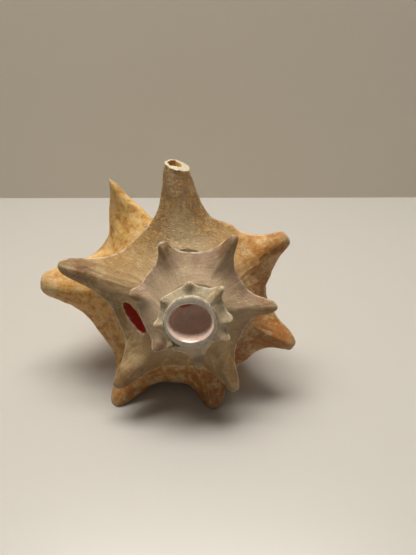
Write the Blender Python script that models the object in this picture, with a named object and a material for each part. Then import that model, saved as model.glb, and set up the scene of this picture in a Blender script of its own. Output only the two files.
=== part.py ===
"""Conch shell, cut at the apex as a horn, lying on two spines and its siphon. Metres, +Z up.

The shell grows as one spiral wall. A turn of 0 is the outer lip, -1 is one whorl before it, and so on
up the spire. Depth is measured down the coiling axis from the point where the whorls would start.
"""

import math

import bmesh
import bpy
import numpy as np
from mathutils import Matrix, Vector

MM = 0.001

# Growth of the shoulder, the line where the spines stand
LIP_BEARING = 324.4
TIP_DEPTH = 58.0
DEPTH_GROWTH = 2.0
SHOULDER_RADIUS = 74.0
RADIUS_GROWTH = 1.55
SHOULDER_SAG = 0.10
OVAL = 0.08
OVAL_BEARING = 310.0

# Spines from the lip inwards: bearing seen from the apex in degrees, reach from the axis, and the radius
# of the spine's neck and of its tip, in mm
LAST_WHORL = [(325, 93, 11.0, 0.3), (275, 101, 12.5, 6.0), (216, 93.5, 9.5, 3.5), (170, 77.5, 9.0, 3.0),
              (114, 71, 7.8, 4.2), (55, 71.5, 8.0, 2.6), (355, 90, 8.9, 6.2)]
MIDDLE_WHORL = [(288, 84, 8.5, 2.8), (223, 71, 7.5, 2.2), (153, 59, 6.5, 2.0), (88, 51, 5.5, 1.5),
                (31, 51.5, 5.0, 1.4), (339, 44, 4.6, 1.4), (288, 37, 4.0, 1.4)]
FIRST_WHORL = [(223, 32, 3.6, 1.3), (171, 34.5, 3.6, 1.3), (124, 27.5, 3.0, 1.1), (93, 24.5, 2.6, 1.0),
               (45, 26.8, 2.8, 1.0), (359, 23.2, 2.5, 0.9), (309, 21.4, 2.3, 0.9), (264, 21.2, 2.3, 0.9),
               (220, 20.8, 2.2, 0.9)]

SHARP_TIP = 0.2
SPINE_RIDGE = 0.06

# Where the shoulder is drawn in between two spines: turn, depth and width in mm
VALLEYS = [(-0.070, 12.0, 15.0), (-0.66, 7.5, 11.0), (-0.868, 4.0, 9.0)]

# The wall
START_TURN = -3.36
LIP_TURN = 0.005
WALL = 3.2
INNER_WALL = 2.2
SOLID_BEFORE = -2.35
HOLLOW_AFTER = -2.05

# The anterior end
SIPHON_DEPTH = 198.5
INNER_END = 97.0
COLUMELLA_RADIUS = 7.0

# The cut apex
RIM_DEPTH = 4.0
RIM_RADIUS = 15.6
RIM_CENTRE = (0.5, -3.9)
MOUTH_SIZE = (12.2, 10.6)
MOUTH_DEPTH = 17.0
BREATH_RADIUS = 3.4
BREATH_END = (15.0, 28.0)

# The slot in the ramp
SLOT_BEARING = 258.5
SLOT_RADIUS = 36.0
SLOT_SIZE = (23.0, 8.0)
SLOT_LEAN = 31.0
SLOT_DEPTHS = (16.5, 36.0)

# How it lies
APEX_ORIGIN = (-11.49, 207.49, 86.25)
AXIS_PITCH = 23.2
AXIS_YAW = -2.13

# What is broken off the tall spine: reach of the break, its lean sideways and towards the apex, and the
# (height, radius, shift) of each ring, from the core to the slanted break
BROKEN_SPINE = 6
BROKEN_REACH = 86.0
BROKEN_LEAN = (0.42, 0.33)
BROKEN_TIP = [(-13.0, 0.8, 0.6), (-9.0, 2.2, 0.7), (-3.0, 3.3, 0.9), (-0.7, 3.7, 1.0), (0.0, 4.0, 1.0),
              (-0.5, 6.6, 0.0), (-1.2, 14.0, 0.0), (16.0, 14.0, 0.0)]

SHELL_COLOUR = (0.50, 0.34, 0.19)
SHELL_ROUGHNESS = 0.55

RAMP_ROWS = 5
SIDE_ROWS = 8


def bearing_of(turn):
    return np.radians(LIP_BEARING + 360 * turn)


def smooth(edge0, edge1, value):
    x = np.clip((value - edge0) / (edge1 - edge0), 0, 1)
    return x * x * (3 - 2 * x)


def shoulder(turn):
    """Radius and depth of the shoulder between the spines."""
    oval = 0.99 + OVAL * np.cos(bearing_of(turn) - math.radians(OVAL_BEARING))
    grown = SHOULDER_RADIUS * RADIUS_GROWTH ** turn
    slim = 1 - 0.07 * smooth(-2.4, -2.9, turn)
    return grown * oval * slim, TIP_DEPTH * DEPTH_GROWTH ** turn + SHOULDER_SAG * grown


def suture(turn):
    """Radius and depth of the seam with the whorl before, or with the cut rim on the first turn."""
    radius, depth = shoulder(turn - 1)
    depth = depth + (0.03 + 0.07 * smooth(-1.6, -1.1, turn)) * radius
    first = smooth(START_TURN + 1.1, START_TURN + 0.85, turn)
    rim_edge = RIM_DEPTH + 0.4 + smooth(START_TURN, START_TURN + 1, turn)
    return radius * 0.97 * (1 - first) + (RIM_RADIUS - 0.6) * first, depth * (1 - first) + rim_edge * first


def lower_end(turn):
    """Radius and depth where the wall ends, on the columella or round the siphon."""
    open_siphon = smooth(-0.95, -0.42, turn)
    depth = INNER_END * DEPTH_GROWTH ** (turn + 1)
    radius = 4.5 + 5.0 * smooth(-0.62, -0.38, turn) + 6.0 * smooth(-0.35, 0.0, turn)
    return radius, depth * (1 - open_siphon) + SIPHON_DEPTH * open_siphon


def outer_profile(turn, depth):
    """Radius of the wall's outside at each depth."""
    seam_radius, seam_depth = suture(turn)
    wide_radius, wide_depth = shoulder(turn)
    end_radius, end_depth = lower_end(turn)
    up = np.clip((depth - seam_depth) / (wide_depth - seam_depth), 0, 3)
    ramp = seam_radius - 1.5 + (wide_radius * 1.02 - seam_radius + 1.5) * up ** 1.25
    down = np.clip((depth - wide_depth) / (end_depth - wide_depth), -1, 1)
    fall = np.where(down > 0, (1 - np.abs(down) ** 1.25) ** 1.15, 1 + 0.5 * np.abs(down))
    side = end_radius + (wide_radius * 1.02 - end_radius) * fall
    corner = 0.045 * wide_radius
    blend = np.clip(0.5 + 0.5 * (side - ramp) / corner, 0, 1)
    return side * (1 - blend) + ramp * blend - corner * blend * (1 - blend)


SPINES = LAST_WHORL + MIDDLE_WHORL + FIRST_WHORL


def spine_turns():
    """The turn of every spine, from the lip inwards."""
    found = []
    turn = 0.0
    for bearing, *_ in SPINES:
        step = (bearing - LIP_BEARING - 360 * turn + 180) % 360 - 180
        turn = turn + step / 360
        found.append(turn)
    return found


def spine_push(turn, along):
    """How far the spines pull each point of the wall."""
    peaks = spine_turns()
    push = np.zeros(turn.shape + (3,))
    for index, (bearing, reach, neck, tip) in enumerate(SPINES):
        peak = peaks[index]
        older = peaks[index + 1] if index + 1 < len(peaks) else peak - 0.12
        younger = peaks[index - 1] if index else peak + 0.14
        radius, depth = shoulder(peak)
        span = 2 * math.pi * radius
        sideways = (turn - peak) * span
        room = np.where(sideways < 0, peak - older, younger - peak) * span * 0.75
        away = np.hypot(sideways, along * np.where(along < 0, 0.95, 0.75))
        point = 1.5 * (1 - smooth(0.03, SHARP_TIP, tip / neck))
        full = (1 + (tip / neck) ** 2.9) / (1 + point * (away / neck) ** 1.1 + (away / neck) ** 2.9)
        full = full * (1 - smooth(0.6, 1.0, away / room))
        height = full * (2 / (1 + full**8)) ** (0.125 if point < 1 else 0)
        facing = bearing_of(peak)
        outward = reach - radius
        way = [outward * math.sin(facing), outward * math.cos(facing), depth - TIP_DEPTH * DEPTH_GROWTH**peak]
        push += height[:, :, None] * np.array(way)
    return push


def ridge_lift(turn, along):
    """How far a ridge raises the ramp towards each spine."""
    lift = np.zeros(turn.shape + (3,))
    for peak, (bearing, reach, neck, tip) in zip(spine_turns(), SPINES):
        radius = shoulder(peak)[0]
        sideways = (turn - peak) * 2 * math.pi * radius
        ridge = np.exp(-((sideways / (0.9 * neck)) ** 2)) * smooth(-2.6 * neck, -0.3 * neck, along)
        ridge = ridge * (1 - smooth(-0.3 * neck, 0.6 * neck, along))
        lift[:, :, 2] += SPINE_RIDGE * radius * ridge
    return lift


def valley_dent(turn, along):
    """How far the shoulder is drawn in between two spines."""
    dent = np.zeros(turn.shape + (3,))
    for place, deep, wide in VALLEYS:
        sideways = (turn - place) * 2 * math.pi * shoulder(place)[0]
        amount = deep * np.exp(-(sideways**2 + along**2) / wide**2)
        dent[:, :, 0] -= amount * np.sin(bearing_of(place))
        dent[:, :, 1] -= amount * np.cos(bearing_of(place))
    return dent


def columns():
    """The turns at which the wall is drawn, closer together at each spine."""
    found = [START_TURN]
    peaks = spine_turns()[::-1]
    for older, younger in zip(peaks, peaks[1:]):
        steps = 4 if younger < -2.4 else 6
        share = np.arange(steps) / steps
        share = share - 0.6 * np.sin(2 * math.pi * share) / (2 * math.pi)
        found += list(older + (younger - older) * share)
    return np.array(found + [peaks[-1], LIP_TURN])


def wall_points():
    """The outside and the inside of the wall, one row of points for each turn, in the shell's frame."""
    row = np.arange(RAMP_ROWS + SIDE_ROWS + 1)[None, :]
    up = np.clip(row / RAMP_ROWS, 0, 1)
    down = np.clip((row - RAMP_ROWS) / SIDE_ROWS, 0, 1)
    lean = 0.035 * (1 - up) ** 1.3 - 0.024 * smooth(0.0, 0.22, down) + 0.02 * smooth(0.3, 0.7, down)
    turn = columns()[:, None] + lean
    seam_radius, seam_depth = suture(turn)
    wide_depth = shoulder(turn)[1]
    end_depth = lower_end(turn)[1]
    depth = seam_depth + (wide_depth - seam_depth) * up + (end_depth - wide_depth) * down**1.5
    radius = outer_profile(turn, depth)
    step_radius, step_depth = np.gradient(radius, axis=1), np.gradient(depth, axis=1)
    length = np.hypot(step_radius, step_depth)
    along = np.cumsum(length, axis=1)
    along = along - along[:, RAMP_ROWS:RAMP_ROWS + 1]
    thickness = INNER_WALL + (WALL - INNER_WALL) * smooth(-1.5, 0, turn)
    in_radius = radius - thickness * step_depth / length
    in_depth = depth + thickness * step_radius / length
    in_radius = np.maximum(in_radius, np.where(row < RAMP_ROWS, seam_radius - 1.5, 1.6))
    in_depth = np.minimum(in_depth, end_depth)
    solid = smooth(HOLLOW_AFTER, SOLID_BEFORE, turn)
    in_radius = in_radius * (1 - solid) + 1.6 * solid
    bearing = bearing_of(turn)
    outside = np.stack([radius * np.sin(bearing), radius * np.cos(bearing), -depth], axis=2)
    inside = np.stack([in_radius * np.sin(bearing), in_radius * np.cos(bearing), -in_depth], axis=2)
    push = spine_push(turn, along)
    hollow = 0.2 + 0.4 * smooth(-0.10, -0.01, turn)
    drift = smooth(-2.45, -2.95, turn - (1 - up))[:, :, None] * np.array([*RIM_CENTRE, 0.0])
    shift = drift + valley_dent(turn, along)
    return outside + push + ridge_lift(turn, along) + shift, inside + push * hollow[:, :, None] + shift


def mesh_object(name, work):
    mesh = bpy.data.meshes.new(name)
    bmesh.ops.recalc_face_normals(work, faces=work.faces)
    work.to_mesh(mesh)
    work.free()
    made = bpy.data.objects.new(name, mesh)
    bpy.context.scene.collection.objects.link(made)
    return made


def ladder(work, ring):
    """Closes a ring by rungs between its two long sides, which keeps a bent outline tidy."""
    count = len(ring)
    for k in range(count // 2):
        corners = [ring[k], ring[k + 1], ring[-k - 1], ring[-k]]
        if k == 0:
            corners = [ring[0], ring[1], ring[-1]]
        if ring[k + 1] is ring[-k - 1]:
            corners = [ring[k], ring[k + 1], ring[-k]]
        work.faces.new(corners)


def skin(name, outlines):
    """A closed solid through a row of outlines with the same number of points."""
    work = bmesh.new()
    rings = [[work.verts.new(point * MM) for point in outline] for outline in outlines]
    count = len(outlines[0])
    for ring, after in zip(rings, rings[1:]):
        for k in range(count):
            work.faces.new((ring[k], ring[(k + 1) % count], after[(k + 1) % count], after[k]))
    ladder(work, rings[0])
    ladder(work, rings[-1])
    bmesh.ops.triangulate(work, faces=work.faces)
    return mesh_object(name, work)


def turned(name, profile, centre=(0, 0), size=(1, 1), sides=28):
    """A solid turned round the coiling axis from (radius, depth) pairs, stretched to an oval."""
    outlines = []
    for radius, depth in profile:
        outlines.append([
            Vector((centre[0] + radius * size[0] * math.sin(2 * math.pi * k / sides),
                    centre[1] + radius * size[1] * math.cos(2 * math.pi * k / sides), -depth))
            for k in range(sides)
        ])
    return skin(name, outlines)


def combine(target, other, operation, use_self=False):
    """Adds one shape to the shell, or cuts it away, and keeps the result as plain mesh."""
    other.hide_render = True
    other.display_type = "WIRE"
    modifier = target.modifiers.new(other.name, "BOOLEAN")
    modifier.operation = operation
    modifier.object = other
    modifier.use_self = use_self


def wall():
    outlines = []
    for outer, inner in zip(*wall_points()):
        outlines.append([Vector(point) for point in outer] + [Vector(point) for point in inner[-2:0:-1]])
    return skin("shell", outlines)


def columella():
    profile = [(COLUMELLA_RADIUS * 0.9, 8), (COLUMELLA_RADIUS, 40), (COLUMELLA_RADIUS * 1.15, 90),
               (COLUMELLA_RADIUS, 130), (COLUMELLA_RADIUS * 0.75, 165), (COLUMELLA_RADIUS * 0.45, 190)]
    return turned("columella", profile, sides=16)


def rim():
    profile = [(RIM_RADIUS - 0.8, RIM_DEPTH), (RIM_RADIUS, RIM_DEPTH + 0.8), (RIM_RADIUS, 9),
               (10, 20), (6, 30)]
    return turned("rim", profile, RIM_CENTRE)


def mouth():
    profile = [(1.2, -2), (1.13, 0), (1.03, 1.5), (0.99, 0.3 * MOUTH_DEPTH), (0.88, 0.62 * MOUTH_DEPTH),
               (0.5, 0.92 * MOUTH_DEPTH), (0.15, MOUTH_DEPTH)]
    profile = [(radius, RIM_DEPTH + depth) for radius, depth in profile]
    return turned("mouth", profile, RIM_CENTRE, MOUTH_SIZE, 24)


def slot():
    """A lens-shaped cutter, sunk through the ramp beside the middle whorl."""
    length, width = SLOT_SIZE
    bearing = math.radians(SLOT_BEARING)
    centre = Vector((math.sin(bearing), math.cos(bearing), 0)) * SLOT_RADIUS
    lean = math.radians(SLOT_LEAN)
    long_way = Vector((-math.sin(lean), math.cos(lean), 0))
    cross_way = Vector((math.cos(lean), math.sin(lean), 0))
    steps = 8
    edge = []
    for k in range(2 * steps):
        share = k / steps
        half = width / 2 * math.sin(math.pi * share)
        reach = length / 2 * math.cos(math.pi * share)
        edge.append(centre + long_way * reach + cross_way * half)
    return skin("slot", [[point + Vector((0, 0, -depth)) for point in edge] for depth in SLOT_DEPTHS])


def breath():
    """The narrow way from the mouth hole into the spiral hollow."""
    bearing = math.radians(LIP_BEARING)
    start = Vector((-1, 1, -(MOUTH_DEPTH - 5)))
    end = Vector((BREATH_END[0] * math.sin(bearing), BREATH_END[0] * math.cos(bearing), -BREATH_END[1]))
    along = (end - start).normalized()
    sideways = along.orthogonal().normalized()
    upwards = along.cross(sideways)
    sides = 10
    ring = [sideways * math.cos(2 * math.pi * k / sides) + upwards * math.sin(2 * math.pi * k / sides)
            for k in range(sides)]
    return skin("breath", [[place + BREATH_RADIUS * way for way in ring] for place in (start, end)])


def broken_tip():
    """What is missing from the tall spine: its end, broken off aslant, and its hollow core."""
    peak = spine_turns()[BROKEN_SPINE]
    facing = float(bearing_of(peak))
    break_radius = (BROKEN_REACH * math.sin(facing), BROKEN_REACH * math.cos(facing))
    place = Vector((*break_radius, -TIP_DEPTH * DEPTH_GROWTH**peak))
    outward = Vector((math.sin(facing), math.cos(facing), 0.10)).normalized()
    sideways = Vector((0, 0, 1)).cross(outward).normalized()
    upwards = outward.cross(sideways)
    outward = (outward + BROKEN_LEAN[1] * upwards - BROKEN_LEAN[0] * sideways).normalized()
    sideways = (sideways - sideways.dot(outward) * outward).normalized()
    upwards = outward.cross(sideways)
    outlines = []
    for height, radius, shift in BROKEN_TIP:
        outline = []
        for k in range(16):
            angle = 2 * math.pi * k / 16
            way = sideways * (math.cos(angle) * radius + shift) + upwards * 0.9 * radius * math.sin(angle)
            outline.append(place + height * outward + way)
        outlines.append(outline)
    return skin("brokenTip", outlines)


def pose():
    """The turn from the shell's frame, apex up, to the way it lies."""
    yaw = Matrix.Rotation(math.radians(AXIS_YAW), 4, "Z")
    pitch = Matrix.Rotation(math.radians(90 - AXIS_PITCH), 4, "X")
    return yaw @ pitch


def bake(shell):
    """Replaces the shell's mesh by its evaluated one."""
    graph = bpy.context.evaluated_depsgraph_get()
    mesh = bpy.data.meshes.new_from_object(shell.evaluated_get(graph))
    shell.modifiers.clear()
    shell.data = mesh


def drop_crumbs(shell):
    """Removes the loose slivers that crossing walls leave, and keeps the largest body."""
    work = bmesh.new()
    work.from_mesh(shell.data)
    seen = set()
    islands = []
    for start in work.verts:
        if start in seen:
            continue
        seen.add(start)
        island = [start]
        for vertex in island:
            for edge in vertex.link_edges:
                other = edge.other_vert(vertex)
                if other not in seen:
                    seen.add(other)
                    island.append(other)
        islands.append(island)
    islands.sort(key=len)
    bmesh.ops.delete(work, geom=[vertex for island in islands[:-1] for vertex in island], context="VERTS")
    work.to_mesh(shell.data)
    work.free()


def stand(shell):
    """Lays the shell on its spines and siphon, with the middle of its box over the origin."""
    shell.data.transform(Matrix.Translation(Vector(APEX_ORIGIN) * MM) @ pose())
    bpy.ops.mesh.primitive_cube_add(size=0.6, location=(0, 0.25, -0.3))
    combine(shell, bpy.context.object, "DIFFERENCE")
    bake(shell)
    corners = np.array([vertex.co for vertex in shell.data.vertices])
    middle = (corners.min(axis=0) + corners.max(axis=0)) / 2
    shell.data.transform(Matrix.Translation((-middle[0], -middle[1], 0)))


def finish(shell):
    """Chalky tan shell, shaded smooth but for its cut edges."""
    material = bpy.data.materials.new("shell")
    material.use_nodes = True
    shader = material.node_tree.nodes["Principled BSDF"]
    shader.inputs["Base Color"].default_value = (*SHELL_COLOUR, 1)
    shader.inputs["Roughness"].default_value = SHELL_ROUGHNESS
    shader.inputs["Metallic"].default_value = 0.0
    shell.data.materials.clear()
    shell.data.materials.append(material)
    shell.data.shade_smooth()
    shell.data.set_sharp_from_angle(angle=math.radians(40))


def main():
    for thing in list(bpy.data.objects):
        bpy.data.objects.remove(thing)
    shell = wall()
    combine(shell, columella(), "UNION", use_self=True)
    combine(shell, rim(), "UNION")
    for cutter in (mouth(), breath(), slot(), broken_tip()):
        combine(shell, cutter, "DIFFERENCE")
    bake(shell)
    drop_crumbs(shell)
    stand(shell)
    finish(shell)


main()
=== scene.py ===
import math

import bmesh
import bpy
import numpy as np
from mathutils import Matrix, Vector, noise


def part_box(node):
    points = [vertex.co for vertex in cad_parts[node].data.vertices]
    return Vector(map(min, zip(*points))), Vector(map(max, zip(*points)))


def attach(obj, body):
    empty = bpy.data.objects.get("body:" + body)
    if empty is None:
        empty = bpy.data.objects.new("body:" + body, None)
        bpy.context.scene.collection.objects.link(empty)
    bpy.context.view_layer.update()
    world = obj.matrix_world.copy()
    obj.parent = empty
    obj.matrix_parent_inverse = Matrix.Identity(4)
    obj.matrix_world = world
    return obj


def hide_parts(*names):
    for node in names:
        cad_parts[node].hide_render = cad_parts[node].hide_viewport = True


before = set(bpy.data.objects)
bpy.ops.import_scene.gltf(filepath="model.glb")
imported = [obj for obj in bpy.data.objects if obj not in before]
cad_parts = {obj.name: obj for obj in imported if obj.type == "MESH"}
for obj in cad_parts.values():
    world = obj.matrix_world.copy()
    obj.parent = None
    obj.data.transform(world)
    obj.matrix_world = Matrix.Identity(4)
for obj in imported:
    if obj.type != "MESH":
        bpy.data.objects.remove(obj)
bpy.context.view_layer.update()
shellLow, shellHigh = (Vector(corner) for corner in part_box("shell"))

mm = 0.001
# within tipBand of a side of the CAD box, points are drawn in to stay boxGap inside it
tipBand, boxGap = 12 * mm, 0.02 * mm

# turn 0 is the lip and -1 one whorl older; depth runs down the coiling axis from where the whorls would start
growth = {
    "lipBearing": 324.4,
    "tipDepth": 58.0,
    "depthPerTurn": 2.0,
    "shoulderRadius": 74.0,
    "radiusPerTurn": 1.55,
    "shoulderSag": 0.10,
    "oval": 0.08,
    "ovalBearing": 310.0,
    "firstTurn": -3.36,
    "lipTurn": 0.005,
    "siphonDepth": 198.5,
    "innerEnd": 97.0,
}

# from the lip inwards: bearing from the apex in degrees, reach, neck and tip radius in mm
spines = [
    (325, 93, 11.0, 0.3), (275, 101, 12.5, 6.0), (216, 93.5, 9.5, 3.5), (170, 77.5, 9.0, 3.0),
    (114, 71, 7.8, 4.2), (55, 71.5, 8.0, 2.6), (355, 90, 8.9, 6.2),
    (288, 84, 8.5, 2.8), (223, 71, 7.5, 2.2), (153, 59, 6.5, 2.0), (88, 51, 5.5, 1.5),
    (31, 51.5, 5.0, 1.4), (339, 44, 4.6, 1.4), (288, 37, 4.0, 1.4),
    (223, 32, 3.6, 1.3), (171, 34.5, 3.6, 1.3), (124, 27.5, 3.0, 1.1), (93, 24.5, 2.6, 1.0),
    (45, 26.8, 2.8, 1.0), (359, 23.2, 2.5, 0.9), (309, 21.4, 2.3, 0.9), (264, 21.2, 2.3, 0.9),
    (220, 20.8, 2.2, 0.9),
]

# where the edge between two spines is drawn in: turn, how far and how wide in mm
valleys = [(-0.070, 12.0, 15.0), (-0.66, 7.5, 11.0), (-0.868, 4.0, 9.0)]

rim = {"depth": 4.0, "radius": 15.6, "centre": (0.5, -3.9), "mouth": (12.2, 10.6), "mouthDepth": 17.0}
# thickness and rounding in mm or turns; the spines are hollow by a share, more so at the lip
wall = {
    "lipThickness": 3.2,
    "innerThickness": 2.2,
    "solidBefore": -2.35,
    "hollowAfter": -2.05,
    "coreRadius": 1.6,
    "lipRound": 0.0045,
    "lipRows": 7,
    "lipThinned": 0.86,
    "spineHollow": (0.2, 0.4),
}
lie = {"apexFromCorner": (100.51, 5.75, 86.25), "pitch": 23.2, "yaw": -2.13}


def smooth(low, high, value):
    x = np.clip((value - low) / (high - low), 0, 1)
    return x * x * (3 - 2 * x)


def bearingOf(turn):
    return np.radians(growth["lipBearing"] + 360 * turn)


def shoulderOf(turn):
    oval = 0.99 + growth["oval"] * np.cos(bearingOf(turn) - math.radians(growth["ovalBearing"]))
    grown = growth["shoulderRadius"] * growth["radiusPerTurn"] ** turn
    slim = 1 - 0.07 * smooth(-2.4, -2.9, turn)
    depth = growth["tipDepth"] * growth["depthPerTurn"] ** turn + growth["shoulderSag"] * grown
    return grown * oval * slim, depth


def sutureOf(turn):
    radius, depth = shoulderOf(turn - 1)
    depth = depth + (0.03 + 0.07 * smooth(-1.6, -1.1, turn)) * radius
    start = growth["firstTurn"]
    first = smooth(start + 1.1, start + 0.85, turn)
    edge = rim["depth"] + 0.4 + 1.0 * smooth(start, start + 1, turn)
    return (radius * 0.97) * (1 - first) + (rim["radius"] - 0.6) * first, depth * (1 - first) + edge * first


def lowerEndOf(turn):
    openSiphon = smooth(-0.95, -0.42, turn)
    depth = growth["innerEnd"] * growth["depthPerTurn"] ** (turn + 1)
    radius = 4.5 + 5.0 * smooth(-0.62, -0.38, turn) + 6.0 * smooth(-0.35, 0.0, turn)
    return radius, depth * (1 - openSiphon) + growth["siphonDepth"] * openSiphon


def outerRadius(turn, depth):
    seamRadius, seamDepth = sutureOf(turn)
    wideRadius, wideDepth = shoulderOf(turn)
    endRadius, endDepth = lowerEndOf(turn)
    up = np.clip((depth - seamDepth) / (wideDepth - seamDepth), 0, 3)
    ramp = seamRadius - 1.5 + (wideRadius * 1.02 - seamRadius + 1.5) * up ** 1.25
    down = np.clip((depth - wideDepth) / (endDepth - wideDepth), -1, 1)
    fall = np.where(down > 0, (1 - np.abs(down) ** 1.25) ** 1.15, 1 + 0.5 * np.abs(down))
    side = endRadius + (wideRadius * 1.02 - endRadius) * fall
    corner = 0.045 * wideRadius
    blend = np.clip(0.5 + 0.5 * (side - ramp) / corner, 0, 1)
    return side * (1 - blend) + ramp * blend - corner * blend * (1 - blend)


def spineTurns():
    found = []
    turn = 0.0
    for bearing, *_ in spines:
        step = (bearing - growth["lipBearing"] - 360 * turn + 180) % 360 - 180
        turn = turn + step / 360
        found.append(turn)
    return found


def growthTurns(fewest, most):
    found = [growth["firstTurn"]]
    peaks = spineTurns()[::-1]
    for older, younger in zip(peaks, peaks[1:]):
        steps = int(fewest + (most - fewest) * smooth(-3.0, -1.2, younger))
        share = np.arange(steps) / steps
        share = share - 0.62 * np.sin(2 * math.pi * share) / (2 * math.pi)
        found += list(older + (younger - older) * share)
    return np.array(found + [peaks[-1]])


layout = {"rampRows": 34, "sideRows": 46, "fewest": 16, "most": 48}


def skewOf(row, rampRows, sideRows):
    up = np.clip(1 - row / rampRows, 0, 1)
    down = np.clip((row - rampRows) / sideRows, 0, 1)
    return 0.035 * up ** 1.3 - 0.024 * smooth(0.0, 0.22, down) + 0.02 * smooth(0.3, 0.7, down)


def wallGrid():
    # one row of points across the wall for each turn, outside and inside, in the shell's own frame
    rampRows, sideRows = layout["rampRows"], layout["sideRows"]
    row = np.arange(rampRows + sideRows + 1)[None, :]
    turns = growthTurns(layout["fewest"], layout["most"])
    lipStart = growth["lipTurn"] - wall["lipRound"]
    quarter = np.linspace(0, 1, wall["lipRows"]) * math.pi / 2
    rounded = lipStart + wall["lipRound"] * np.sin(quarter)
    turns = np.concatenate([turns[turns < lipStart - 0.002], [lipStart - 0.002], rounded])
    thin = np.zeros(len(turns))
    thin[-wall["lipRows"]:] = wall["lipThinned"] * (1 - np.cos(quarter))
    turn = turns[:, None] + skewOf(row, rampRows, sideRows)
    seamRadius, seamDepth = sutureOf(turn)
    wideDepth = shoulderOf(turn)[1]
    endDepth = lowerEndOf(turn)[1]
    up = np.clip(row / rampRows, 0, 1)
    down = np.clip((row - rampRows) / sideRows, 0, 1) ** 1.5
    depth = seamDepth + (wideDepth - seamDepth) * up + (endDepth - wideDepth) * down
    radius = outerRadius(turn, depth)
    stepRadius, stepDepth = np.gradient(radius, axis=1), np.gradient(depth, axis=1)
    length = np.hypot(stepRadius, stepDepth)
    along = np.cumsum(length, axis=1)
    along = along - along[:, rampRows:rampRows + 1]
    thickness = wall["innerThickness"] + (wall["lipThickness"] - wall["innerThickness"]) * smooth(-1.5, 0, turn)
    inRadius = radius - thickness * stepDepth / length
    inDepth = depth + thickness * stepRadius / length
    inRadius = np.maximum(inRadius, np.where(row < rampRows, seamRadius - 1.5, wall["coreRadius"]))
    inDepth = np.minimum(inDepth, endDepth)
    solid = smooth(wall["hollowAfter"], wall["solidBefore"], turn)
    inRadius = inRadius * (1 - solid) + wall["coreRadius"] * solid
    bearing = bearingOf(turn)
    outside = np.stack([radius * np.sin(bearing), radius * np.cos(bearing), -depth], axis=2)
    inside = np.stack([inRadius * np.sin(bearing), inRadius * np.cos(bearing), -inDepth], axis=2)
    push, height, lift = spinePush(turn, along)
    least, more = wall["spineHollow"]
    hollow = least + more * smooth(-0.10, -0.01, turn)
    drawnIn = valleyDent(turn, along)
    outside = outside + push + lift + drawnIn
    inside = inside + push * hollow[:, :, None] + drawnIn
    older = turn - (1 - up)
    drift = smooth(-2.45, -2.95, older)[:, :, None] * np.array([*rim["centre"], 0.0])
    outside = outside + drift
    inside = inside + drift
    middle = (outside + inside) / 2
    thin = thin[:, None, None]
    outside = outside * (1 - thin) + middle * thin
    inside = inside * (1 - thin) + middle * thin
    return turns, turn, along, height, outside, inside


def spinePush(turn, along):
    # how far the spines pull each point, how high up a spine it is, and the ridge that leads to each spine
    peaks = spineTurns()
    push = np.zeros(turn.shape + (3,))
    most = np.zeros(turn.shape)
    lift = np.zeros(turn.shape + (3,))
    for index, (_, reach, neck, tip) in enumerate(spines):
        peak = peaks[index]
        older = peaks[index + 1] if index + 1 < len(peaks) else peak - 0.12
        younger = peaks[index - 1] if index else peak + 0.14
        radius, depth = shoulderOf(peak)
        span = 2 * math.pi * radius
        sideways = (turn - peak) * span
        room = np.where(sideways < 0, peak - older, younger - peak) * span * 0.75
        lengthways = along * np.where(along < 0, 0.95, 0.75)
        away = np.hypot(sideways, lengthways)
        point = 1.5 * (1 - smooth(0.03, 0.2, tip / neck))
        full = (1 + (tip / neck) ** 2.9) / (1 + point * (away / neck) ** 1.1 + (away / neck) ** 2.9)
        full = full * (1 - smooth(0.6, 1.0, away / room))
        height = full * (2 / (1 + full**8)) ** (0.125 if point < 1 else 0)
        facing = bearingOf(peak)
        tipDepth = growth["tipDepth"] * growth["depthPerTurn"] ** peak
        way = np.array([(reach - radius) * np.sin(facing), (reach - radius) * np.cos(facing), depth - tipDepth])
        push += height[:, :, None] * way
        most = np.maximum(most, height)
        ridge = np.exp(-((sideways / (0.9 * neck)) ** 2)) * smooth(-2.6 * neck, -0.3 * neck, along)
        ridge = ridge * (1 - smooth(-0.3 * neck, 0.6 * neck, along))
        lift[:, :, 2] += 0.06 * radius * ridge
    return push, most, lift


def valleyDent(turn, along):
    # how far the shoulder is drawn in between two spines
    dent = np.zeros(turn.shape + (3,))
    for place, deep, wide in valleys:
        sideways = (turn - place) * 2 * math.pi * shoulderOf(place)[0]
        amount = deep * np.exp(-(sideways**2 + along**2) / wide**2)
        facing = bearingOf(place)
        dent[:, :, 0] -= amount * np.sin(facing)
        dent[:, :, 1] -= amount * np.cos(facing)
    return dent


def solidFromRings(name, outside, inside, extra):
    # a closed length of wall; extra holds the values that its points carry
    work = bmesh.new()
    layers = {key: work.verts.layers.float.new(key) for key in extra[0]}
    inRows = list(range(outside.shape[1] - 2, 0, -2))
    rings = []
    for column in range(outside.shape[0]):
        ring = []
        for row in range(outside.shape[1]):
            vertex = work.verts.new(outside[column, row])
            for key, layer in layers.items():
                vertex[layer] = extra[0][key][column, row]
            ring.append(vertex)
        for row in inRows:
            vertex = work.verts.new(inside[column, row])
            for key, layer in layers.items():
                vertex[layer] = extra[1][key][column, row]
            ring.append(vertex)
        rings.append(ring)
    count = len(rings[0])
    for ring, after in zip(rings, rings[1:]):
        for k in range(count):
            face = work.faces.new((ring[k], ring[(k + 1) % count], after[(k + 1) % count], after[k]))
            face.material_index = 0 if k < outside.shape[1] - 1 else 1
    for ring in (rings[0], rings[-1]):
        cap(work, ring, outside.shape[1], inRows)
    return finished(name, work)


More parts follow.
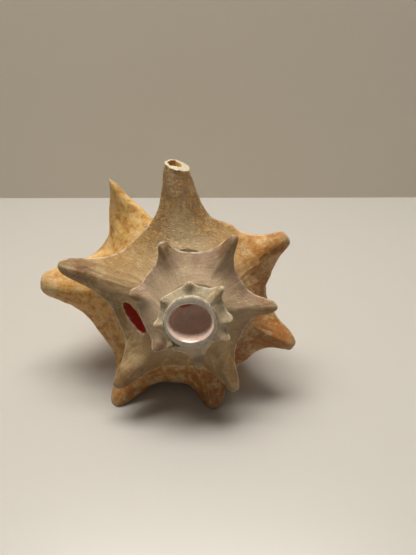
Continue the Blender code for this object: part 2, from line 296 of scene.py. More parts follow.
def cap(work, ring, rows, inRows):
    # closes an end of the wall by narrow faces from the outside to the inside
    inner = {row: ring[rows + k] for k, row in enumerate(inRows)}
    inner[0] = ring[0]
    inner[rows - 1] = ring[rows - 1]
    keys = sorted(inner)
    for low, high in zip(keys, keys[1:]):
        corners = [ring[row] for row in range(low, high + 1)] + [inner[high], inner[low]]
        unique = []
        for corner in corners:
            if corner not in unique:
                unique.append(corner)
        if len(unique) > 2:
            work.faces.new(unique)


def turnedSolid(name, profile, centre, size, sides, slots):
    # a solid of (radius, depth) pairs round the coiling axis, with a finish for each step
    work = bmesh.new()
    rings = []
    for radius, depth in profile:
        ring = []
        for k in range(sides):
            angle = 2 * math.pi * k / sides
            ring.append(work.verts.new((centre[0] + radius * size[0] * math.sin(angle),
                                        centre[1] + radius * size[1] * math.cos(angle), -depth)))
        rings.append(ring)
    for index, (ring, after) in enumerate(zip(rings, rings[1:])):
        for k in range(sides):
            face = work.faces.new((ring[k], ring[(k + 1) % sides], after[(k + 1) % sides], after[k]))
            face.material_index = slots[index]
    work.faces.new(rings[0]).material_index = slots[0]
    work.faces.new(rings[-1]).material_index = slots[-1]
    return finished(name, work)


def finished(name, work):
    # every piece carries the same finishes in the same order, so that they keep theirs when joined
    bmesh.ops.recalc_face_normals(work, faces=work.faces)
    mesh = bpy.data.meshes.new(name)
    work.to_mesh(mesh)
    work.free()
    for finish in finishes:
        mesh.materials.append(finish)
    made = bpy.data.objects.new(name, mesh)
    bpy.context.scene.collection.objects.link(made)
    return made


def smoothProfile(points, steps):
    # a soft curve through a few (radius, depth) pairs
    points = np.array(points, float)
    ends = np.vstack([2 * points[0] - points[1], points, 2 * points[-1] - points[-2]])
    curve = []
    for a, b, c, d in zip(ends, ends[1:], ends[2:], ends[3:]):
        for share in np.arange(steps) / steps:
            curve.append(0.5 * (2 * b + (c - a) * share + (2 * a - 5 * b + 4 * c - d) * share**2
                                + (3 * b - a - 3 * c + d) * share**3))
    return [tuple(point) for point in curve] + [tuple(points[-1])]


def breathWay():
    # the narrow way from the mouth hole into the spiral hollow
    bearing = math.radians(growth["lipBearing"])
    start = Vector((-1.0, 1.0, -(rim["mouthDepth"] - 5)))
    end = Vector((15 * math.sin(bearing), 15 * math.cos(bearing), -28))
    along = (end - start).normalized()
    sideways = along.orthogonal().normalized()
    upwards = along.cross(sideways)
    work = bmesh.new()
    rings = []
    for share in (0, 0.25, 0.5, 0.75, 1):
        place = start.lerp(end, share)
        ring = []
        for k in range(24):
            angle = 2 * math.pi * k / 24
            way = sideways * math.cos(angle) + upwards * math.sin(angle)
            ring.append(work.verts.new(place + float(4.2 - 0.8 * share) * way))
        rings.append(ring)
    for ring, after in zip(rings, rings[1:]):
        for k in range(24):
            work.faces.new((ring[k], ring[(k + 1) % 24], after[(k + 1) % 24], after[k]))
    work.faces.new(rings[0])
    work.faces.new(rings[-1])
    for face in work.faces:
        face.material_index = 1
    return finished("breath", work)


slot = {"bearing": 258.5, "radius": 36.0, "length": 23.0, "width": 8.0, "lean": 31.0, "depths": (16.5, 36.0)}


def slotCutter():
    bearing = math.radians(slot["bearing"])
    lean = math.radians(slot["lean"])
    centre = Vector((math.sin(bearing), math.cos(bearing), 0)) * slot["radius"]
    longWay = Vector((-math.sin(lean), math.cos(lean), 0))
    crossWay = Vector((math.cos(lean), math.sin(lean), 0))
    steps = 40
    work = bmesh.new()
    rings = []
    for depth in np.linspace(*slot["depths"], 8):
        ring = []
        for k in range(2 * steps):
            share = k / steps
            half = slot["width"] / 2 * (abs(math.sin(math.pi * share)) ** 0.9 + 0.05 * math.sin(0.9 * k))
            half = half * (1 if share < 1 else -1)
            reach = slot["length"] / 2 * math.cos(math.pi * share)
            place = centre + longWay * reach + crossWay * half
            ring.append(work.verts.new(place + Vector((0, 0, -float(depth)))))
        rings.append(ring)
    for ring, after in zip(rings, rings[1:]):
        for k in range(2 * steps):
            following = (k + 1) % (2 * steps)
            work.faces.new((ring[k], ring[following], after[following], after[k]))
    work.faces.new(rings[0])
    work.faces.new(rings[-1])
    for face in work.faces:
        face.material_index = 1
    return finished("slot", work)


# where the tall spine is broken, how far the break leans sideways and towards the apex, and the
# (height, radius, shift) of each ring of what is gone
broken = {
    "spine": 6,
    "reach": 86.0,
    "lean": (0.42, 0.33),
    "rings": [(-13.0, 0.8, 0.6), (-9.0, 2.2, 0.9), (-3.0, 3.6, 1.3), (-0.7, 4.0, 1.4), (0.2, 4.3, 1.3),
              (0.2, 5.2, 0.5), (-0.4, 6.6, 0.0), (-1.2, 14.0, 0.0), (16.0, 14.0, 0.0)],
    "edgeRings": (4, 5, 6),
}


def brokenTip():
    # the tip of the tall spine is broken off aslant and shows its hollow core
    peak = spineTurns()[broken["spine"]]
    facing = float(bearingOf(peak))
    outward = Vector((math.sin(facing), math.cos(facing), 0.10)).normalized()
    reach = broken["reach"]
    place = Vector((reach * math.sin(facing), reach * math.cos(facing), -growth["tipDepth"] * 2**peak))
    sideways = Vector((0, 0, 1)).cross(outward).normalized()
    upwards = outward.cross(sideways)
    outward = (outward + broken["lean"][1] * upwards - broken["lean"][0] * sideways).normalized()
    sideways = (sideways - sideways.dot(outward) * outward).normalized()
    upwards = outward.cross(sideways)
    work = bmesh.new()
    rings = []
    for height, width, shift in broken["rings"]:
        ring = []
        for k in range(48):
            angle = 2 * math.pi * k / 48
            ragged = 1 + 0.05 * math.sin(3 * angle) + 0.04 * math.sin(7 * angle + 1)
            chipped = 0.25 * math.sin(4 * angle + 0.6) + 0.15 * math.sin(11 * angle)
            way = sideways * (math.cos(angle) * width * ragged + shift)
            way = way + upwards * 0.9 * width * ragged * math.sin(angle)
            ring.append(work.verts.new(place + (height + chipped) * outward + way))
        rings.append(ring)
    for index, (ring, after) in enumerate(zip(rings, rings[1:])):
        for k in range(48):
            face = work.faces.new((ring[k], ring[(k + 1) % 48], after[(k + 1) % 48], after[k]))
            face.material_index = 3 if index in broken["edgeRings"] else 4
    work.faces.new(rings[0])
    work.faces.new(rings[-1])
    return finished("brokenTip", work)


def join(shell, other, operation):
    step = shell.modifiers.new(other.name, "BOOLEAN")
    step.operation = operation
    step.solver = "MANIFOLD"
    step.object = other


def grownShell():
    # joins the lengths of wall, the columella and the rim, then cuts the openings
    turns, turn, along, height, outside, inside = wallGrid()
    arc = 2 * math.pi * growth["shoulderRadius"] / math.log(growth["radiusPerTurn"])
    arc = arc * growth["radiusPerTurn"] ** turn
    seam = along - along[:, :1]
    fields = {"turn": turn, "across": along, "seam": seam, "spine": height, "arc": arc}
    cuts = [growth["firstTurn"], -2.62, -1.72, -0.82, 1.0]
    made = []
    for low, high in zip(cuts, cuts[1:]):
        first = max(np.searchsorted(turns, low) - 1, 0)
        last = min(np.searchsorted(turns, high), len(turns))
        pick = slice(first, last)
        some = {key: value[pick] for key, value in fields.items()}
        made.append(solidFromRings("whorl%d" % len(made), outside[pick], inside[pick], (some, some)))
    shell = made.pop()
    shell.name = "conchShell"
    r = rim["radius"]
    top = rim["depth"]
    rimProfile = smoothProfile([(r - 1.3, top + 0.05), (r - 0.3, top + 0.4), (r, top + 1.4),
                                (r, 9), (10, 20), (6, 30)], 4)
    rimProfile = [(2.0, top)] + rimProfile
    rimSlots = [2] * 4 + [0] * (len(rimProfile) - 5)
    rimSolid = turnedSolid("rim", rimProfile, rim["centre"], (1, 1), 96, rimSlots)
    size = 7.0
    rod = smoothProfile([(size * 0.9, 8), (size, 40), (size * 1.15, 90), (size, 130), (size * 0.75, 165),
                         (size * 0.45, 190)], 12)
    columella = turnedSolid("columella", rod, (0, 0), (1, 1), 48, [1] * len(rod))
    depth = rim["mouthDepth"]
    bowl = smoothProfile([(1.2, -2), (1.13, 0), (1.03, 1.5), (0.99, 0.3 * depth), (0.88, 0.62 * depth),
                          (0.5, 0.92 * depth), (0.05, depth)], 6)
    bowl = [(radius, top + deep) for radius, deep in bowl]
    mouth = turnedSolid("mouth", bowl, rim["centre"], rim["mouth"], 96, [1] * len(bowl))
    for other in made[::-1] + [columella, rimSolid]:
        join(shell, other, "UNION")
    for other in (mouth, breathWay(), slotCutter(), brokenTip()):
        join(shell, other, "DIFFERENCE")
        made.append(other)
    graph = bpy.context.evaluated_depsgraph_get()
    mesh = bpy.data.meshes.new_from_object(shell.evaluated_get(graph))
    shell.modifiers.clear()
    shell.data = mesh
    for other in made + [columella, rimSolid]:
        bpy.data.objects.remove(other)
    return shell


relief = {"swell": 0.5, "growth": 0.42, "pebble": 0.2, "wrinkle": 0.4}


def roughen(shell):
    # raises and sinks the outside in mm: soft swellings, growth ridges, and the wrinkled skin of the tall spine
    mesh = shell.data
    count = len(mesh.vertices)
    fields = {}
    for name in ("turn", "across", "arc", "seam"):
        fields[name] = np.zeros(count, np.float32)
        mesh.attributes[name].data.foreach_get("value", fields[name])
    outer = np.zeros(count, bool)
    for face in mesh.polygons:
        if face.material_index == 0:
            outer[list(face.vertices)] = True
    normals = np.zeros(3 * count, np.float32)
    places = np.zeros(3 * count, np.float32)
    mesh.vertex_normals.foreach_get("vector", normals)
    mesh.vertices.foreach_get("co", places)
    places = places.reshape(-1, 3)
    turn = fields["turn"]
    young = smooth(-3.2, -0.6, turn)
    tall = smooth(-1.05, -0.97, turn) * (1 - smooth(-0.87, -0.80, turn))
    raised = np.zeros(count)
    for index in np.nonzero(outer)[0]:
        place = Vector(places[index])
        across, arc = fields["across"][index], fields["arc"][index]
        swell = noise.noise(place / 11)
        ridge = noise.noise((arc / 3.2 + 1.2 * noise.noise(place / 16), across / 30, 0))
        pebble = noise.noise(place / 3.0)
        bend = noise.noise(place / 6)
        fold = noise.noise((place.x / 6.5 + bend, place.y / 2.6 + 1.3 * bend, place.z / 6.5))
        skin = 1 - 5 * abs(fold)
        size = 0.35 + 0.65 * young[index]
        raised[index] = relief["swell"] * swell + relief["growth"] * ridge + relief["pebble"] * pebble
        raised[index] *= size
        raised[index] -= relief["wrinkle"] * max(skin, 0) ** 2 * tall[index]
    raised *= smooth(0.0, 1.5, fields["seam"])
    places += normals.reshape(-1, 3) * raised[:, None]
    mesh.vertices.foreach_set("co", places.ravel())
    mesh.update()


def drawInside(points):
    for axis in range(3):
        for side, edge in ((-1, shellLow[axis]), (1, shellHigh[axis])):
            near = side * edge - tipBand
            past = side * points[:, axis] - near
            if past.max() > tipBand:
                past = np.where(past > 0, past * (tipBand - boxGap) / past.max(), past)
                points[:, axis] = side * (near + past)


def layDown(shell):
    # from the shell's own frame in mm, apex up, to the way it lies
    yaw = Matrix.Rotation(math.radians(lie["yaw"]), 4, "Z")
    pitch = Matrix.Rotation(math.radians(90 - lie["pitch"]), 4, "X")
    apex = shellLow + Vector(lie["apexFromCorner"]) * mm
    shell.data.transform(Matrix.Translation(apex) @ yaw @ pitch @ Matrix.Scale(mm, 4))
    points = np.empty(len(shell.data.vertices) * 3, np.float32)
    shell.data.vertices.foreach_get("co", points)
    points = points.reshape(-1, 3).astype(float)
    points[:, 2] = np.maximum(points[:, 2], shellLow.z)
    drawInside(points)
    shell.data.vertices.foreach_set("co", points.astype(np.float32).ravel())
    shell.data.update()
    shell.data.shade_smooth()
    shell.data.set_sharp_from_angle(angle=math.radians(50))


def nodeIn(tree, kind, **values):
    node = tree.nodes.new(kind)
    for key, value in values.items():
        if key in node.inputs:
            node.inputs[key].default_value = value
        else:
            setattr(node, key, value)
    return node


def attribute(tree, name):
    return nodeIn(tree, "ShaderNodeAttribute", attribute_name=name)


def maths(tree, operation, first, second=0.5, third=None):
    node = nodeIn(tree, "ShaderNodeMath", operation=operation)
    for index, value in enumerate((first, second, third)):
        if value is None:
            continue
        if hasattr(value, "links"):
            tree.links.new(value, node.inputs[index])
        else:
            node.inputs[index].default_value = value
    return node.outputs[0]


def between(tree, value, low, high, clamp=True):
    node = nodeIn(tree, "ShaderNodeMapRange", interpolation_type="SMOOTHSTEP")
    node.clamp = clamp
    tree.links.new(value, node.inputs["Value"])
    node.inputs["From Min"].default_value = low
    node.inputs["From Max"].default_value = high
    return node.outputs["Result"]


def mixed(tree, share, first, second, blend="MIX"):
    node = nodeIn(tree, "ShaderNodeMix", data_type="RGBA", blend_type=blend)
    for socket, value in ((node.inputs[0], share), (node.inputs[6], first), (node.inputs[7], second)):
        if hasattr(value, "links"):
            tree.links.new(value, socket)
        elif isinstance(value, (int, float)):
            socket.default_value = value
        else:
            socket.default_value = (*value, 1.0)
    return node.outputs[2]


def ramped(tree, value, stops, interpolation="LINEAR"):
    node = nodeIn(tree, "ShaderNodeValToRGB")
    node.color_ramp.interpolation = interpolation
    while len(node.color_ramp.elements) < len(stops):
        node.color_ramp.elements.new(0.5)
    for element, (place, colour) in zip(node.color_ramp.elements, stops):
        element.position = place
    for element, (place, colour) in zip(node.color_ramp.elements, stops):
        element.color = (*colour, 1.0)
    tree.links.new(value, node.inputs[0])
    return node.outputs[0]


def grownPlace(tree, alongScale, acrossScale):
    # a place on the wall in millimetres: with the growth, and across it
    arc = maths(tree, "MULTIPLY", attribute(tree, "arc").outputs["Fac"], alongScale)
    across = maths(tree, "MULTIPLY", attribute(tree, "across").outputs["Fac"], acrossScale)
    node = nodeIn(tree, "ShaderNodeCombineXYZ")
    tree.links.new(arc, node.inputs[0])
    tree.links.new(across, node.inputs[1])
    return node.outputs[0]


def noiseAt(tree, place, scale, detail=3.0, roughness=0.55, distortion=0.0):
    node = nodeIn(tree, "ShaderNodeTexNoise", Scale=scale, Detail=detail, Roughness=roughness,
                  Distortion=distortion)
    tree.links.new(place, node.inputs["Vector"])
    return node.outputs["Fac"]


def objectPlace(tree):
    return nodeIn(tree, "ShaderNodeTexCoord").outputs["Object"]


def groupOf(name, inputs, outputs):
    tree = bpy.data.node_groups.new(name, "ShaderNodeTree")
    for socket, kind, value in inputs:
        made = tree.interface.new_socket(socket, in_out="INPUT", socket_type=kind)
        made.default_value = value
    for socket, kind in outputs:
        tree.interface.new_socket(socket, in_out="OUTPUT", socket_type=kind)
    return tree, tree.nodes.new("NodeGroupInput"), tree.nodes.new("NodeGroupOutput")


def growthLinesGroup():
    # what the growing edge left: broad bands, fine threads along the edge, and threads round the whorl
    inputs = [("Spacing", "NodeSocketFloat", 2.0), ("Wander", "NodeSocketFloat", 1.0)]
    outputs = [("Bands", "NodeSocketFloat"), ("Threads", "NodeSocketFloat"), ("Cords", "NodeSocketFloat")]
    tree, given, out = groupOf("growthLines", inputs, outputs)
    arc = attribute(tree, "arc").outputs["Fac"]
    across = attribute(tree, "across").outputs["Fac"]
    wander = noiseAt(tree, grownPlace(tree, 0.10, 0.13), 1.0, 3.0)
    wander = maths(tree, "MULTIPLY", maths(tree, "SUBTRACT", wander, 0.5), given.outputs["Wander"])
    along = maths(tree, "ADD", maths(tree, "DIVIDE", arc, given.outputs["Spacing"]), wander)
    place = nodeIn(tree, "ShaderNodeCombineXYZ")
    tree.links.new(along, place.inputs[0])
    tree.links.new(maths(tree, "MULTIPLY", across, 0.13), place.inputs[1])
    tree.links.new(noiseAt(tree, place.outputs[0], 1.0, 3.0, 0.65, 0.3), out.inputs["Bands"])
    tree.links.new(noiseAt(tree, place.outputs[0], 3.7, 4.0, 0.75, 0.2), out.inputs["Threads"])
    wound = nodeIn(tree, "ShaderNodeCombineXYZ")
    tree.links.new(maths(tree, "MULTIPLY", arc, 0.05), wound.inputs[0])
    tree.links.new(maths(tree, "ADD", maths(tree, "MULTIPLY", across, 1.1), wander), wound.inputs[1])
    tree.links.new(noiseAt(tree, wound.outputs[0], 1.0, 3.0, 0.7, 0.2), out.inputs["Cords"])
    return tree


# folds per metre across and along the tall spine, and how wide each crease is
wrinkleFolds = [(110.0, 260.0, 0.050), (230.0, 420.0, 0.045), (330.0, 160.0, 0.035)]


def chalkGroup():
    # weathered surface: grain, small pits, blotches and cracked wrinkles
    inputs = [("Scale", "NodeSocketFloat", 1.0)]
    outputs = [("Grain", "NodeSocketFloat"), ("Pits", "NodeSocketFloat"), ("Blotches", "NodeSocketFloat"),
               ("Wrinkles", "NodeSocketFloat"), ("Mottle", "NodeSocketFloat")]
    tree, given, out = groupOf("chalk", inputs, outputs)
    place = nodeIn(tree, "ShaderNodeVectorMath", operation="SCALE")
    tree.links.new(objectPlace(tree), place.inputs[0])
    tree.links.new(given.outputs["Scale"], place.inputs["Scale"])
    place = place.outputs[0]
    tree.links.new(noiseAt(tree, place, 900.0, 5.0, 0.65), out.inputs["Grain"])
    speck = between(tree, noiseAt(tree, place, 1150.0, 2.0, 0.5), 0.60, 0.70)
    patch = between(tree, noiseAt(tree, place, 70.0, 4.0, 0.6), 0.46, 0.62)
    tree.links.new(maths(tree, "SUBTRACT", 1.0, maths(tree, "MULTIPLY", speck, patch)), out.inputs["Pits"])
    tree.links.new(noiseAt(tree, place, 60.0, 6.0, 0.66, 0.5), out.inputs["Blotches"])
    tree.links.new(noiseAt(tree, place, 150.0, 6.0, 0.68, 0.35), out.inputs["Mottle"])
    folds = None
    pitch = math.radians(lie["pitch"])
    acrossSpine, alongSpine = (1, 0, 0), (0, math.sin(pitch), math.cos(pitch))
    throughSpine = (0, -math.cos(pitch), math.sin(pitch))
    for long, short, width in wrinkleFolds:
        stretched = nodeIn(tree, "ShaderNodeCombineXYZ")
        for index, (way, scale) in enumerate(((acrossSpine, long), (alongSpine, short), (throughSpine, long))):
            dot = nodeIn(tree, "ShaderNodeVectorMath", operation="DOT_PRODUCT")
            tree.links.new(place, dot.inputs[0])
            dot.inputs[1].default_value = way
            tree.links.new(maths(tree, "MULTIPLY", dot.outputs["Value"], scale), stretched.inputs[index])
        field = noiseAt(tree, stretched.outputs[0], 1.0, 3.0, 0.6, 0.9)
        field = maths(tree, "ABSOLUTE", maths(tree, "SUBTRACT", field, 0.5))
        field = between(tree, field, 0.0, width)
        folds = field if folds is None else maths(tree, "MULTIPLY", folds, field)
    tree.links.new(folds, out.inputs["Wrinkles"])
    return tree


def wornAndHighlitGroup():
    # wear on the spine tips, and a pale line along the sharp shoulder between them that is partly wear and
    # partly a painted highlight
    inputs = [("Tips From", "NodeSocketFloat", 0.8), ("Keel Width", "NodeSocketFloat", 0.6)]
    outputs = [("Tips", "NodeSocketFloat"), ("Keel", "NodeSocketFloat")]
    tree, given, out = groupOf("wornAndHighlit", inputs, outputs)
    rough = noiseAt(tree, objectPlace(tree), 240.0, 5.0, 0.7)
    spine = attribute(tree, "spine").outputs["Fac"]
    spine = maths(tree, "ADD", spine, maths(tree, "MULTIPLY", maths(tree, "SUBTRACT", rough, 0.5), 0.5))
    tips = maths(tree, "DIVIDE", maths(tree, "SUBTRACT", spine, given.outputs["Tips From"]), 0.25)
    tree.links.new(maths(tree, "MINIMUM", maths(tree, "MAXIMUM", tips, 0.0), 1.0), out.inputs["Tips"])
    across = maths(tree, "ABSOLUTE", attribute(tree, "across").outputs["Fac"])
    keelWearAndHighlight = maths(tree, "SUBTRACT", 1.4, maths(tree, "DIVIDE", across, given.outputs["Keel Width"]))
    keelWearAndHighlight = maths(tree, "MINIMUM", maths(tree, "MAXIMUM", keelWearAndHighlight, 0.0), 1.0)
    tree.links.new(maths(tree, "MULTIPLY", keelWearAndHighlight, between(tree, rough, 0.38, 0.58)), out.inputs["Keel"])
    return tree


def groupIn(tree, group, values=()):
    node = tree.nodes.new("ShaderNodeGroup")
    node.node_tree = group
    for key, value in dict(values).items():
        node.inputs[key].default_value = value
    return node


# the colour of each stretch of growth, by turn; the stops at -1.50 and -1.15 hold the spines' own orange-brown
# darkened with painted shade, as those spines lie in shadow
outsideLook = {
    "whorls": [
        (-3.40, (0.27, 0.24, 0.17)), (-2.70, (0.27, 0.23, 0.15)), (-2.45, (0.66, 0.51, 0.37)),
        (-1.75, (0.60, 0.43, 0.29)), (-1.50, (0.34, 0.18, 0.045)), (-1.15, (0.22, 0.12, 0.03)),
        (-1.00, (0.60, 0.35, 0.11)), (-0.86, (0.70, 0.41, 0.125)), (-0.76, (0.58, 0.26, 0.035)),
        (-0.50, (0.35, 0.115, 0.012)), (-0.16, (0.82, 0.42, 0.08)), (-0.03, (0.74, 0.44, 0.095)),
    ],
    "side": (0.48, 0.18, 0.04),
    "cream": (0.76, 0.58, 0.33),
    "rust": (0.36, 0.11, 0.02),
    "tip": (0.46, 0.34, 0.17),
    "keelWearAndHighlight": (0.78, 0.69, 0.52),
    "shade": (0.15, 0.075, 0.03),
    "stain": (0.22, 0.11, 0.035),
    "mauveAndShade": (0.24, 0.13, 0.075),
    "chip": (0.52, 0.51, 0.42),
    "seamShade": (0.10, 0.055, 0.03),
    "roughness": (0.42, 0.25),
    "bump": (0.75, 0.0010),
}


def outsideMaterial(lines, chalk, wornAndHighlit):
    look = outsideLook
    material = bpy.data.materials.new("shellOutside")
    material.use_nodes = True
    tree = material.node_tree
    shader = tree.nodes["Principled BSDF"]
    turn = attribute(tree, "turn").outputs["Fac"]
    across = attribute(tree, "across").outputs["Fac"]
    seam = attribute(tree, "seam").outputs["Fac"]
    first, last = look["whorls"][0][0], 0.05
    share = maths(tree, "DIVIDE", maths(tree, "SUBTRACT", turn, first), last - first)
    stops = [((stop - first) / (last - first), colour) for stop, colour in look["whorls"]]
    base = ramped(tree, share, stops)
    grown = groupIn(tree, lines, {"Spacing": 2.0, "Wander": 2.2})
    grain = groupIn(tree, chalk)
    fine = groupIn(tree, chalk, {"Scale": 2.4})
    wearAndHighlight = groupIn(tree, wornAndHighlit, {"Tips From": 0.86, "Keel Width": 0.55})
    stained = groupIn(tree, wornAndHighlit, {"Tips From": 0.40, "Keel Width": 0.1})
    late = between(tree, turn, -1.0, -0.72)
    tall = maths(tree, "MULTIPLY", between(tree, turn, -1.04, -0.97),
                 maths(tree, "SUBTRACT", 1.0, between(tree, turn, -0.87, -0.80)))
    # partly painted shade: the lower side of each whorl goes to a darker orange, partly its own colour and
    # partly the shade on the side that faces away from the lamp
    side = between(tree, across, 1.0, 14.0)
    base = mixed(tree, maths(tree, "MULTIPLY", side, 0.55), base, look["side"])
    # partly painted shade: the outer ramp of the middle whorls, by the spines, is mixed towards mauve-brown,
    # partly its own browner tone and partly the shade on its flanks
    middle = maths(tree, "MULTIPLY", between(tree, turn, -2.5, -2.3),
                   maths(tree, "SUBTRACT", 1.0, between(tree, turn, -1.7, -1.5)))
    outer = maths(tree, "MULTIPLY", between(tree, across, -17.0, -2.0), middle)
    base = mixed(tree, maths(tree, "MULTIPLY", outer, 0.6), base, look["mauveAndShade"])
    stain = maths(tree, "SUBTRACT", 0.85, maths(tree, "MULTIPLY", maths(tree, "MAXIMUM", late, tall), 0.6))
    base = mixed(tree, maths(tree, "MULTIPLY", stained.outputs["Tips"], stain), base, look["stain"])
    blotch = between(tree, grain.outputs["Blotches"], 0.48, 0.66)
    base = mixed(tree, maths(tree, "MULTIPLY", blotch, 0.4), base, look["cream"])
    dark = maths(tree, "SUBTRACT", 1.0, between(tree, grain.outputs["Blotches"], 0.32, 0.46))
    base = mixed(tree, maths(tree, "MULTIPLY", dark, 0.3), base, look["shade"])
    rust = maths(tree, "MULTIPLY", between(tree, grain.outputs["Mottle"], 0.48, 0.62),
                 maths(tree, "ADD", maths(tree, "MULTIPLY", late, 0.55), 0.1))
    base = mixed(tree, rust, base, look["rust"])
    cream = maths(tree, "SUBTRACT", 1.0, between(tree, grain.outputs["Mottle"], 0.34, 0.52))
    cream = maths(tree, "MULTIPLY", cream, maths(tree, "ADD", maths(tree, "MULTIPLY", late, 0.45), 0.2))
    base = mixed(tree, cream, base, look["cream"])
    streak = between(tree, grown.outputs["Bands"], 0.50, 0.68)
    streak = maths(tree, "MULTIPLY", streak, maths(tree, "ADD", maths(tree, "MULTIPLY", late, 0.2), 0.05))
    base = mixed(tree, streak, base, look["rust"])
    pale = maths(tree, "SUBTRACT", 1.0, between(tree, grown.outputs["Bands"], 0.34, 0.47))
    base = mixed(tree, maths(tree, "MULTIPLY", pale, 0.2), base, look["cream"])
    threads = between(tree, grown.outputs["Threads"], 0.50, 0.70)
    base = mixed(tree, maths(tree, "MULTIPLY", threads, 0.14), base, look["shade"])
    cracks = maths(tree, "MULTIPLY", maths(tree, "SUBTRACT", 1.0, grain.outputs["Wrinkles"]), tall)
    base = mixed(tree, maths(tree, "MULTIPLY", cracks, 0.55), base, look["shade"])
    early = maths(tree, "SUBTRACT", 1.0, between(tree, turn, -2.75, -2.5))
    chipped = maths(tree, "MULTIPLY", between(tree, fine.outputs["Mottle"], 0.50, 0.60), early)
    base = mixed(tree, maths(tree, "MULTIPLY", chipped, 0.55), base, look["chip"])
    pitted = maths(tree, "SUBTRACT", 1.0, between(tree, fine.outputs["Mottle"], 0.36, 0.43))
    pitted = maths(tree, "MULTIPLY", pitted, early)
    base = mixed(tree, maths(tree, "MULTIPLY", pitted, 0.6), base, look["shade"])
    besideSeam = maths(tree, "SUBTRACT", 1.0, between(tree, seam, 4.0, 18.0))
    paler = maths(tree, "ADD", maths(tree, "MULTIPLY", tall, 0.55), 0.3)
    besideSeam = maths(tree, "MULTIPLY", besideSeam, paler)
    base = mixed(tree, besideSeam, base, look["cream"])
    # painted shade: the suture crease of the middle whorls is darkened where the shoulder above overhangs it
    inSeam = maths(tree, "SUBTRACT", 1.0, between(tree, seam, 1.7, 2.6))
    inSeam = maths(tree, "MULTIPLY", inSeam, between(tree, turn, -2.6, -1.6))
    base = mixed(tree, maths(tree, "MULTIPLY", inSeam, 0.85), base, look["seamShade"])
    base = mixed(tree, maths(tree, "MULTIPLY", maths(tree, "SUBTRACT", 1.0, grain.outputs["Pits"]), 0.55), base,
                 look["shade"])
    base = mixed(tree, maths(tree, "MULTIPLY", wearAndHighlight.outputs["Tips"], 0.6), base, look["tip"])
    # painted highlight, partly wear: the shoulder keel is lightened to a pale line
    base = mixed(tree, maths(tree, "MULTIPLY", wearAndHighlight.outputs["Keel"], 0.7), base, look["keelWearAndHighlight"])
    tree.links.new(base, shader.inputs["Base Color"])
    least, more = look["roughness"]
    rough = maths(tree, "ADD", maths(tree, "MULTIPLY", grain.outputs["Grain"], more), least)
    tree.links.new(rough, shader.inputs["Roughness"])
    relief = maths(tree, "MULTIPLY", grown.outputs["Threads"], 0.45)
    for value, weight in ((grown.outputs["Bands"], 0.7), (grown.outputs["Cords"], 0.55),
                          (grain.outputs["Grain"], 0.3), (grain.outputs["Pits"], 0.5)):
        relief = maths(tree, "ADD", relief, maths(tree, "MULTIPLY", value, weight))
    wrinkles = maths(tree, "MULTIPLY", grain.outputs["Wrinkles"], maths(tree, "ADD", tall, 0.06))
    relief = maths(tree, "ADD", relief, wrinkles)
    strength, distance = look["bump"]
    bump = nodeIn(tree, "ShaderNodeBump", Strength=strength, Distance=distance)
    tree.links.new(relief, bump.inputs["Height"])
    tree.links.new(bump.outputs[0], shader.inputs["Normal"])
    return material


insideLook = {
    "lip": (0.70, 0.50, 0.34),
    "throat": (0.62, 0.27, 0.19),
    "deep": (0.95, 0.26, 0.17),
    "bowl": (0.64, 0.46, 0.37),
    "bowlPale": (0.84, 0.66, 0.56),
    "milk": (0.72, 0.52, 0.42),
    "glow": ((0.9, 0.06, 0.03), 0.045),
}


def porcelainMaterial(lines, chalk):
    look = insideLook
    material = bpy.data.materials.new("shellInside")
    material.use_nodes = True
    tree = material.node_tree
    shader = tree.nodes["Principled BSDF"]
    turn = attribute(tree, "turn").outputs["Fac"]
    grown = groupIn(tree, lines, {"Spacing": 5.0, "Wander": 2.0})
    grain = groupIn(tree, chalk, {"Scale": 0.6})
    base = mixed(tree, between(tree, turn, -0.30, -0.01), look["throat"], look["lip"])
    deep = maths(tree, "SUBTRACT", 1.0, between(tree, turn, -0.95, -0.35))
    base = mixed(tree, deep, base, look["deep"])
    milk = maths(tree, "MULTIPLY", between(tree, grown.outputs["Bands"], 0.45, 0.68), 0.2)
    base = mixed(tree, milk, base, look["milk"])
    bowl = maths(tree, "COMPARE", attribute(tree, "arc").outputs["Fac"], 0.0, 0.01)
    blotch = between(tree, grain.outputs["Blotches"], 0.35, 0.7)
    base = mixed(tree, bowl, base, mixed(tree, blotch, look["bowl"], look["bowlPale"]))
    tree.links.new(base, shader.inputs["Base Color"])
    # painted glow: an emission on the inner whorls stands in for daylight coming red through their thin wall
    inner = maths(tree, "SUBTRACT", 1.0, between(tree, turn, -1.35, -1.0))
    glow = maths(tree, "MULTIPLY", inner, look["glow"][1])
    glow = maths(tree, "MULTIPLY", glow, maths(tree, "SUBTRACT", 1.0, bowl))
    shader.inputs["Emission Color"].default_value = (*look["glow"][0], 1)
    tree.links.new(glow, shader.inputs["Emission Strength"])
    tree.links.new(maths(tree, "ADD", maths(tree, "MULTIPLY", grain.outputs["Grain"], 0.15), 0.2),
                   shader.inputs["Roughness"])
    shader.inputs["Coat Weight"].default_value = 0.3
    shader.inputs["Coat Roughness"].default_value = 0.2
    relief = maths(tree, "ADD", grown.outputs["Bands"], maths(tree, "MULTIPLY", grain.outputs["Grain"], 0.06))
    bump = nodeIn(tree, "ShaderNodeBump", Strength=0.15, Distance=0.0008)
    tree.links.new(relief, bump.inputs["Height"])
    tree.links.new(bump.outputs[0], shader.inputs["Normal"])
    return material


cutLook = {"chalk": (0.47, 0.43, 0.35), "stain": (0.32, 0.26, 0.19)}


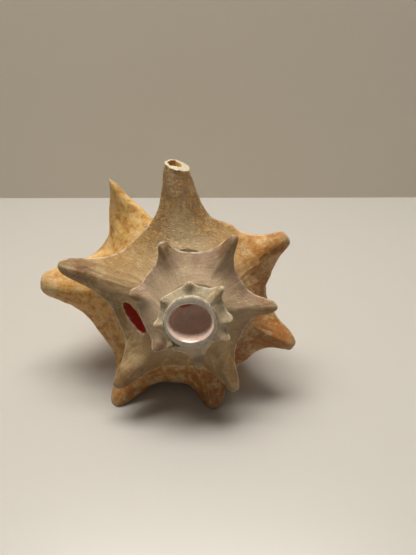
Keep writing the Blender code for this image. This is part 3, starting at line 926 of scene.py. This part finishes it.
def cutMaterial(chalk):
    material = bpy.data.materials.new("shellCut")
    material.use_nodes = True
    tree = material.node_tree
    shader = tree.nodes["Principled BSDF"]
    grain = groupIn(tree, chalk, {"Scale": 1.4})
    blotch = between(tree, grain.outputs["Blotches"], 0.4, 0.68)
    base = mixed(tree, blotch, cutLook["chalk"], cutLook["stain"])
    tree.links.new(base, shader.inputs["Base Color"])
    tree.links.new(maths(tree, "ADD", maths(tree, "MULTIPLY", grain.outputs["Grain"], 0.2), 0.35),
                   shader.inputs["Roughness"])
    bump = nodeIn(tree, "ShaderNodeBump", Strength=0.4, Distance=0.0005)
    tree.links.new(grain.outputs["Grain"], bump.inputs["Height"])
    tree.links.new(bump.outputs[0], shader.inputs["Normal"])
    return material


def plainMaterial(name, colour, roughness):
    material = bpy.data.materials.new(name)
    material.use_nodes = True
    shader = material.node_tree.nodes["Principled BSDF"]
    shader.inputs["Base Color"].default_value = (*colour, 1)
    shader.inputs["Roughness"].default_value = roughness
    return material


view = {
    "fromCorner": (112.00, -201.74, 264.5),
    "tilt": 35.86,
    "roll": -1.557,
    "lens": 31.37,
    "sensor": 36.0,
}


def placeCamera():
    tilt, roll = math.radians(view["tilt"]), math.radians(view["roll"])
    across = Vector((1, 0, 0))
    up = Vector((0, math.sin(tilt), math.cos(tilt)))
    forward = Vector((0, math.cos(tilt), -math.sin(tilt)))
    turnedAcross = math.cos(roll) * across + math.sin(roll) * up
    turnedUp = -math.sin(roll) * across + math.cos(roll) * up
    data = bpy.data.cameras.new("camera")
    data.sensor_fit = "VERTICAL"
    data.sensor_height = view["sensor"]
    data.lens = view["lens"]
    data.clip_start = 0.01
    data.clip_end = 20
    camera = bpy.data.objects.new("camera", data)
    axes = Matrix((turnedAcross, turnedUp, -forward)).transposed()
    place = shellLow + Vector(view["fromCorner"]) * mm
    camera.matrix_world = Matrix.Translation(place) @ axes.to_4x4()
    bpy.context.scene.collection.objects.link(camera)
    bpy.context.scene.camera = camera


def areaLight(name, place, target, size, power, colour):
    data = bpy.data.lights.new(name, "AREA")
    data.shape = "RECTANGLE"
    data.size, data.size_y = size
    data.energy = power
    data.color = colour
    light = bpy.data.objects.new(name, data)
    light.location = place
    light.rotation_euler = (Vector(target) - Vector(place)).to_track_quat("-Z", "Y").to_euler()
    bpy.context.scene.collection.objects.link(light)


stage = {
    "edgeFromCorner": 330.5,
    "turned": -3.2,
    "floor": ((0.565, 0.545, 0.505), 0.3),
    "backdrop": ((0.74, 0.68, 0.575), 0.8),
}


def placeStage():
    edge = shellLow.y + stage["edgeFromCorner"] * mm
    planes = (("floor", (0, edge - 1.0, shellLow.z - 0.0001), (0, 0, 0), (6, 3, 1)),
              ("backdrop", (0, edge, 1.0), (math.pi / 2, 0, math.radians(stage["turned"])), (6, 2.4, 1)))
    for name, place, turned, size in planes:
        bpy.ops.mesh.primitive_plane_add(size=1, location=place, rotation=turned)
        plane = bpy.context.object
        plane.name = name
        plane.scale = size
        colour, roughness = stage[name]
        plane.data.materials.append(plainMaterial(name, colour, roughness))


lamps = {
    "ambient": ((1.0, 0.94, 0.86), 0.11),
    "overhead": {"place": (-0.03, 0.30, 1.10), "target": (0, 0, 0), "size": (0.9, 0.8), "power": 35.0,
                 "colour": (1.0, 0.96, 0.90)},
}


def placeLights():
    world = bpy.data.worlds.new("studio")
    world.use_nodes = True
    colour, strength = lamps["ambient"]
    world.node_tree.nodes["Background"].inputs["Color"].default_value = (*colour, 1)
    world.node_tree.nodes["Background"].inputs["Strength"].default_value = strength
    bpy.context.scene.world = world
    lamp = lamps["overhead"]
    areaLight("overhead", lamp["place"], lamp["target"], lamp["size"], lamp["power"], lamp["colour"])


lines, chalk, wornAndHighlit = growthLinesGroup(), chalkGroup(), wornAndHighlitGroup()
finishes = [
    outsideMaterial(lines, chalk, wornAndHighlit),
    porcelainMaterial(lines, chalk),
    cutMaterial(chalk),
    plainMaterial("brokenEdge", (0.60, 0.52, 0.38), 0.6),
    plainMaterial("brokenCore", (0.52, 0.30, 0.08), 0.6),
]
shell = grownShell()
print("shell", len(shell.data.polygons), "faces")
roughen(shell)
layDown(shell)
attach(shell, "root")
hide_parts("shell")
placeCamera()
placeStage()
placeLights()
bpy.context.scene.view_settings.view_transform = "Standard"
print("scene ready")
